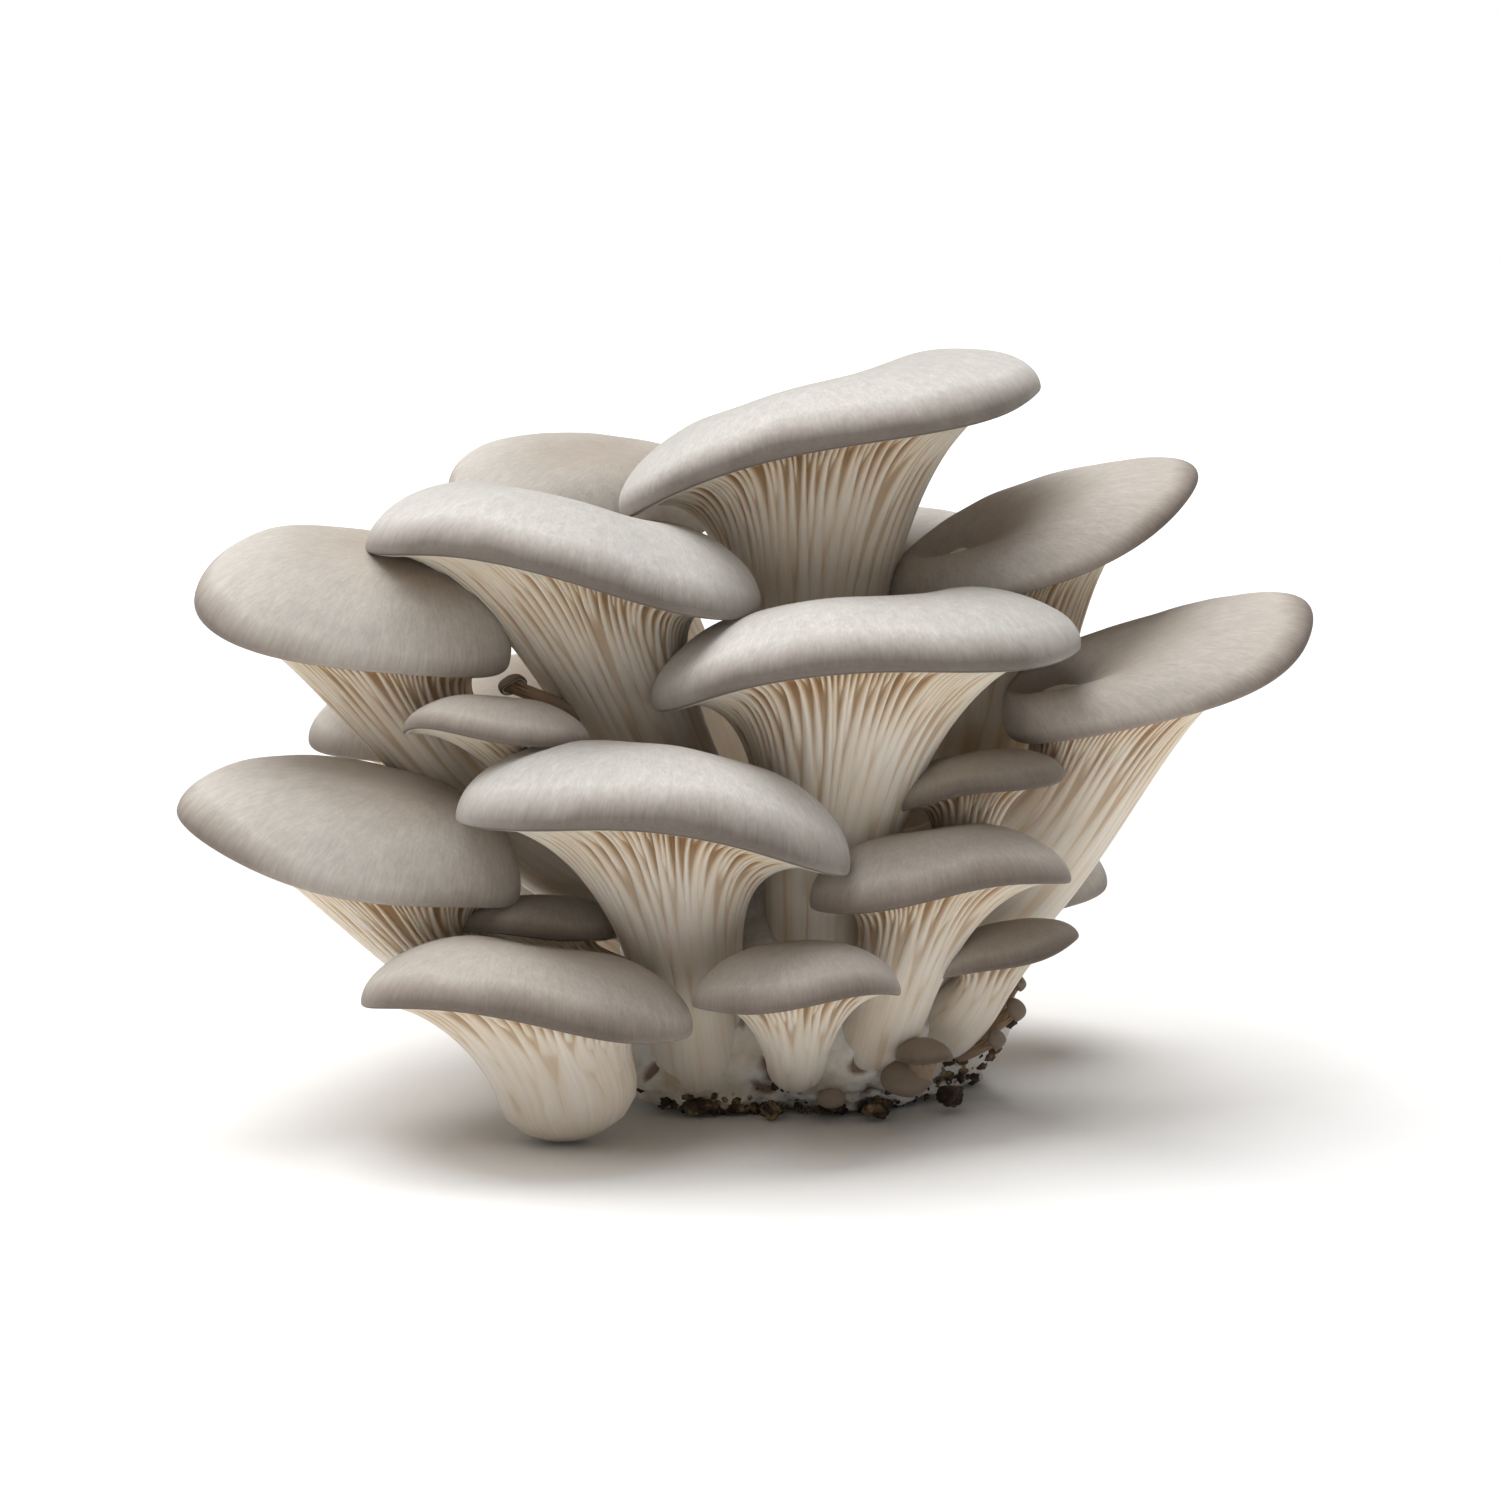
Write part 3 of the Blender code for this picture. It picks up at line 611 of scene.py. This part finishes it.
def flesh_grid(body, count):
    """The gilled flesh from heel to margin and back over under the skin, with its marks."""
    dice = random.Random(body.seed + 500)
    columns = count * GILL_COLUMNS
    t = (1.0 - np.arange(STEM_RINGS) / (STEM_RINGS - 1.0)) ** 1.2
    rows, theta = along(t, columns)
    jitter = np.array([dice.uniform(-0.16, 0.16) for _ in range(count)])
    spot = np.arange(columns) / GILL_COLUMNS
    shift = np.interp(spot, range(count + 1), np.append(jitter, jitter[0])) * 2.0 * math.pi / count
    a, b, c = (dice.uniform(0.0, 6.28) for _ in range(3))
    sway = 0.35 * np.sin(7.0 * theta + 3.0 * rows + a)
    sway = sway + 0.25 * np.sin(13.0 * theta - 5.0 * rows + b)
    sway += 2.0 * rows**2 * np.sin(5.0 * theta + 4.0 * rows + c)
    theta = theta + shift[None, :] + sway * 2.0 * math.pi / 128.0
    plain = body.under(theta, rows)
    relief = gill_relief(count, t, dice)
    deep = np.interp(t, (0.0, 0.03, 0.12, 0.25, 0.45, 0.65, 0.85, 1.0),
                     (0.0, 0.4, 1.0, 0.9, 0.42, 0.22, 0.14, 0.08))
    deep = deep * GILL_DEPTH * math.sqrt(body.width / DEEP_WIDTH)
    ahead = np.mod(theta + math.pi, 2.0 * math.pi) - math.pi
    deep = deep[:, None] * (0.3 + 0.7 * np.exp(-((ahead / 0.95) ** 2)))
    deep = deep * (0.85 + 0.15 * np.sin(3.0 * theta + a))
    stem = plain + facing_out(plain) * ((relief - 1.0) * deep)[..., None]
    turns, _ = along(np.array([1.0, 0.86, 0.68, 0.46, 0.22]) * math.pi / 2.0, columns)
    heel_theta = theta[:1] + 0.0 * turns
    heel = body.heel_end(heel_theta, turns)
    lip_turns, lip_theta = along(np.array([0.7, 0.45, 0.2]) * math.pi, columns)
    lip = body.margin(lip_theta, lip_turns, 0.8)
    radii, top_theta = along((0.985, 0.94, 0.86, 0.74, 0.58, 0.4, 0.22, 0.0), columns)
    cover = body.top(top_theta, radii, FLESH_INSET * body.width)
    skin = np.concatenate([heel, stem, lip, cover])
    ridge = np.concatenate([0.6 + 0.0 * turns, relief, 1.0 + 0.0 * lip_turns, 1.0 + 0.0 * radii])
    down = np.concatenate([1.0 + 0.2 * turns, rows, 0.0 * lip_turns, 0.0 * radii])
    round_it = np.concatenate([heel_theta, theta, lip_theta, top_theta])
    length = np.linalg.norm(body.centre - body.foot)
    run = np.stack([np.cos(round_it), np.sin(round_it), down * length / 30.0], axis=-1)
    return skin, {"ridge": ridge, "down": down, "run": run}


def skin_grid(body, columns):
    """The cap's own skin: a thin closed shell over the flesh, rolled round the margin."""
    inner_r, inner_theta = along(np.linspace(0.0, 1.0, 9) ** 0.6, columns)
    inner = body.top(inner_theta, inner_r, SKIN_THICK * body.width)
    back_turn, back_theta = along(np.array([0.0, 0.3, 0.6, 0.83]) * math.pi, columns)
    back = body.margin(back_theta, back_turn, 0.55)
    roll_turn, roll_theta = along(np.array([0.88, 0.8, 0.7, 0.6, 0.5, 0.42, 0.34, 0.27, 0.2, 0.1])
                                  * math.pi, columns)
    roll = body.margin(roll_theta, roll_turn, 1.0, 0.6)
    radii, theta = along(1.0 - (np.arange(CAP_RINGS + 1) / CAP_RINGS) ** 1.7, columns)
    top = body.top(theta, radii)
    skin = np.concatenate([inner, back, roll, top])
    rim = np.concatenate([0.0 * inner_r, 1.4 + 0.0 * back_turn, 1.0 + roll_turn / math.pi, radii])
    round_it = np.concatenate([inner_theta, back_theta, roll_theta, theta])
    dents = ripples(top, 0.3 * body.width, body.seed, 2) * 0.008 * body.width
    fade = np.clip((1.0 - radii) / 0.1, 0.0, 1.0)
    skin[-len(top):] += facing_out(top) * (dents * fade)[..., None]
    fibre = np.stack([np.cos(round_it), np.sin(round_it), rim * body.width / 40.0], axis=-1)
    ahead = np.mod(round_it + math.pi, 2.0 * math.pi) - math.pi
    # How far down the dome each point lies, most at the hanging front: it places the skin's painted
    # shade low down and at the margin.
    painted_light_fall = 1.0 - (1.0 - np.minimum(rim, 1.0) ** body.dome) ** 0.56
    painted_light_fall = painted_light_fall * (0.75 + 0.25 * np.exp(-((ahead / 1.15) ** 4)))
    return skin, {"rim": rim, "painted_light_fall": painted_light_fall, "fibre": fibre}


# Tones of the skin: hollow, dome, half way down, low, margin.
# The hollow, low and margin tones are painted shade, and the half way tone, lighter than the dome,
# is a painted highlight.
TONES = {
    "pale": ((0.49, 0.46, 0.43), (0.54, 0.52, 0.49), (0.61, 0.585, 0.55), (0.43, 0.39, 0.355),
             (0.20, 0.17, 0.145)),
    "warm": ((0.42, 0.365, 0.31), (0.53, 0.495, 0.45), (0.60, 0.56, 0.51), (0.42, 0.37, 0.325),
             (0.23, 0.19, 0.16)),
    # A darker copy of the skin, partly painted shade, for caps that sit in the shade of others.
    "taupe": ((0.38, 0.335, 0.29), (0.47, 0.43, 0.39), (0.50, 0.455, 0.405), (0.33, 0.28, 0.24),
              (0.19, 0.155, 0.13)),
    "pin": ((0.30, 0.235, 0.18), (0.28, 0.22, 0.17), (0.26, 0.20, 0.15), (0.22, 0.165, 0.125),
            (0.16, 0.12, 0.09)),
}


def cap_finish(tone):
    made = Finish("cap_skin_" + tone, Subsurface_Weight=0.1, Subsurface_Scale=0.002,
                  Subsurface_Radius=(1.0, 0.7, 0.5), Specular_IOR_Level=0.22, Sheen_Weight=0.1,
                  Sheen_Roughness=0.45)
    hollow, dome, outer, low, margin = TONES[tone]
    here = made.place()
    rim = made.mark("rim")
    fibre = made.mark("fibre", vector=True)
    fine = made.cloud(made.put("Mapping", Vector=fibre, Scale=(70.0, 70.0, 30.0)).outputs[0], 1.0,
                      4.0, 0.7)
    broad = made.cloud(made.put("Mapping", Vector=fibre, Scale=(22.0, 22.0, 9.0)).outputs[0], 1.0,
                       3.0, 0.6)
    patch = made.cloud(here, 60.0, 3.0, 0.5)
    mottle = made.cloud(here, 420.0, 4.0, 0.65)
    painted_light_fall = made.mark("painted_light_fall")
    wander = made.calc(painted_light_fall, made.calc(made.calc(patch, 0.5, "SUBTRACT"), 0.25, "MULTIPLY"))
    # Painted light: shade painted in the hollow, low down and at the margin, and a painted
    # highlight half way down.
    colour = made.shade(wander, (0.0, hollow), (0.25, dome), (0.6, outer), (0.79, low),
                        (0.98, margin))
    colour = made.blend(0.30, colour, made.shade(fine, (0.3, 0.62), (0.68, 1.25)), "MULTIPLY")
    colour = made.blend(0.25, colour, made.shade(broad, (0.3, 0.7), (0.7, 1.2)), "MULTIPLY")
    colour = made.blend(0.22, colour, made.shade(mottle, (0.3, 0.7), (0.7, 1.2)), "MULTIPLY")
    turned_in = made.calc(made.calc(rim, 1.0, "SUBTRACT"), 2.0, "MULTIPLY")
    # A thin dark line where the margin turns under: painted shade.
    edge = made.shade(turned_in, (0.5, 0.0), (0.66, 0.8), (0.82, 0.8), (0.92, 0.0))
    colour = made.blend(edge, colour, (0.10, 0.078, 0.06))
    colour = made.blend(made.shade(turned_in, (0.9, 0.0), (1.0, 1.0)), colour, (0.74, 0.66, 0.54))
    height = made.calc(fine, made.calc(mottle, 0.6, "MULTIPLY"))
    rough = made.shade(mottle, (0.3, 0.7), (0.7, 0.84))
    return made.finish(colour, rough, height, 0.35, 0.0003)


def flesh_finish(name, tint):
    made = Finish(name, Subsurface_Weight=0.3, Subsurface_Scale=0.0035,
                  Subsurface_Radius=(1.0, 0.55, 0.3), Specular_IOR_Level=0.35)
    here = made.place()
    ridge = made.mark("ridge")
    down = made.mark("down")
    run = made.mark("run", vector=True)
    streak = made.cloud(made.put("Mapping", Vector=run, Scale=(14.0, 14.0, 1.6)).outputs[0], 1.0,
                        4.0, 0.65)
    hair = made.cloud(made.put("Mapping", Vector=run, Scale=(46.0, 46.0, 5.0)).outputs[0], 1.0,
                      3.0, 0.65)
    patch = made.cloud(here, 75.0, 3.0, 0.5)
    # The amber-brown between the gills, and the darker grooves of the stem, are painted shade in
    # the gaps.
    gill = made.shade(ridge, (0.0, (0.36, 0.215, 0.105)), (0.3, (0.58, 0.42, 0.27)),
                      (0.65, (0.82, 0.715, 0.58)), (1.0, (0.90, 0.83, 0.735)))
    stem = made.shade(ridge, (0.0, (0.76, 0.64, 0.50)), (0.35, (0.85, 0.765, 0.655)),
                      (1.0, (0.91, 0.85, 0.77)))
    colour = made.blend(made.shade(down, (0.2, 0.0), (0.55, 1.0)), gill, stem)
    colour = made.blend(0.3, colour, made.shade(streak, (0.32, (0.80, 0.70, 0.55)),
                                                 (0.6, (1.0, 1.0, 1.0))), "MULTIPLY")
    colour = made.blend(0.25, colour, made.shade(hair, (0.3, 0.75), (0.62, 1.0)), "MULTIPLY")
    colour = made.blend(0.25, colour, made.shade(patch, (0.35, (0.9, 0.8, 0.62)),
                                                 (0.6, (1.0, 1.0, 1.0))), "MULTIPLY")
    colour = made.blend(1.0, colour, tint, "MULTIPLY")
    height = made.calc(hair, made.calc(streak, 0.8, "MULTIPLY"))
    return made.finish(colour, made.shade(hair, (0.3, 0.6), (0.7, 0.45)), height, 0.25, 0.0003)


CAP_FINISHES = {tone: cap_finish(tone) for tone in TONES}
FLESH = flesh_finish("gill_flesh", (1.0, 1.0, 1.0))
PIN_FLESH = flesh_finish("pin_flesh", (0.42, 0.34, 0.27))


def grow(node, values, skin_columns):
    """Make the cap skin and the gilled flesh of one fruit body."""
    *form, tone, more = values
    body = FruitBody(*form, more)
    theta = np.linspace(0.0, 2.0 * math.pi, 400)
    out, side, _ = body.outline(theta)
    girth = np.hypot(np.diff(out), np.diff(side)).sum()
    count = 8 * max(3, round(girth / GILL_PITCH / 8.0))
    skin, marks = skin_grid(body, skin_columns)
    cap = rolled_skin(node.replace("_mushroom", "") + "_cap", skin, CAP_FINISHES[tone], **marks)
    skin, marks = flesh_grid(body, count)
    flesh = rolled_skin(node.replace("_mushroom", "") + "_gills", skin,
                        PIN_FLESH if tone == "pin" else FLESH, **marks)
    for piece, slot in ((cap, "cap_skin"), (flesh, "gill_flesh")):
        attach(piece, "root")
        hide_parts(node)


for group, skin_columns in ((LARGE, 176), (BUDS, 128), (PINS, 48)):
    for node, values in group.items():
        grow(node, values, skin_columns)


# ------------------------------------------------------- table, light, view
# A plain white table that glows a little in the distance, a very broad soft light overhead and
# a little behind on the left, a lamp high in front, and a long lens a little above the caps.

TABLE_HALF_SIDE = 6.0

bm = bmesh.new()
bmesh.ops.create_grid(bm, x_segments=1, y_segments=1, size=TABLE_HALF_SIDE)
table_mesh = bpy.data.meshes.new("table")
bm.to_mesh(table_mesh)
bm.free()
table = bpy.data.objects.new("table", table_mesh)
bpy.context.scene.collection.objects.link(table)
white = Finish("white_table", Specular_IOR_Level=0.2)
dust = white.cloud(white.place(), 30.0, 2.0)
near = white.put("TexGradient", Vector=white.place())
near.gradient_type = "SPHERICAL"
white.feed(white.shader.inputs["Emission Strength"],
           white.shade(near.outputs["Fac"], (0.0, 0.3), (0.7, 0.0)))
white.shader.inputs["Emission Color"].default_value = (1.0, 1.0, 1.0, 1.0)
table_mesh.materials.append(white.finish(white.shade(dust, (0.3, 0.86), (0.7, 0.88)), 0.6, dust,
                                         0.02, 0.0001))


def soft_lamp(name, place, aim, size, watts, colour=(1.0, 1.0, 1.0)):
    lamp = bpy.data.lights.new(name, "AREA")
    lamp.shape = "DISK"
    lamp.size = size
    lamp.energy = watts
    lamp.color = colour
    holder = bpy.data.objects.new(name, lamp)
    holder.location = place
    holder.rotation_euler = (Vector(aim) - Vector(place)).to_track_quat("-Z", "Y").to_euler()
    bpy.context.scene.collection.objects.link(holder)


MIDDLE = GROUND_ZERO + Vector((0.0, 0.0, 62.0)) * MM
soft_lamp("front_lamp", (-0.4, -0.7, 1.25), MIDDLE, 0.9, 7.0, (1.0, 0.995, 0.985))
broad_light = bpy.data.lights.new("overhead_lamp", "SUN")
broad_light.energy = 3.3
broad_light.angle = math.radians(55.0)
broad_light.color = (1.0, 0.995, 0.985)
overhead = bpy.data.objects.new("overhead_lamp", broad_light)
overhead.rotation_euler = Vector((-0.2, 0.26, 1.0)).to_track_quat("Z", "Y").to_euler()
bpy.context.scene.collection.objects.link(overhead)

world = bpy.data.worlds.new("white_room")
world.use_nodes = True
sky = world.node_tree.nodes
sky["Background"].inputs["Color"].default_value = (1.0, 1.0, 1.0, 1.0)
sky["Background"].inputs["Strength"].default_value = 0.19
seen = sky.new("ShaderNodeBackground")  # what the camera sees past the table's edge
seen.inputs["Color"].default_value = (1.0, 1.0, 1.0, 1.0)
seen.inputs["Strength"].default_value = 1.0
path = sky.new("ShaderNodeLightPath")
pick = sky.new("ShaderNodeMixShader")
for source, target in (
    (path.outputs["Is Camera Ray"], pick.inputs[0]),
    (sky["Background"].outputs[0], pick.inputs[1]),
    (seen.outputs[0], pick.inputs[2]),
    (pick.outputs[0], sky["World Output"].inputs["Surface"]),
):
    world.node_tree.links.new(source, target)
bpy.context.scene.world = world
bpy.context.scene.view_settings.view_transform = "Standard"

VIEW_DISTANCE, VIEW_HEIGHT = 0.735, math.radians(8.0)
camera = bpy.data.objects.new("camera", bpy.data.cameras.new("camera"))
camera.data.lens = 100.0
camera.data.sensor_width = 36.0
back = Vector((0.0, -math.cos(VIEW_HEIGHT), math.sin(VIEW_HEIGHT)))
camera.location = MIDDLE + back * VIEW_DISTANCE
camera.rotation_euler = (-back).to_track_quat("-Z", "Y").to_euler()
camera.data.clip_start = 0.01
camera.data.clip_end = 50.0
bpy.context.scene.collection.objects.link(camera)
bpy.context.scene.camera = camera

bpy.context.view_layer.update()
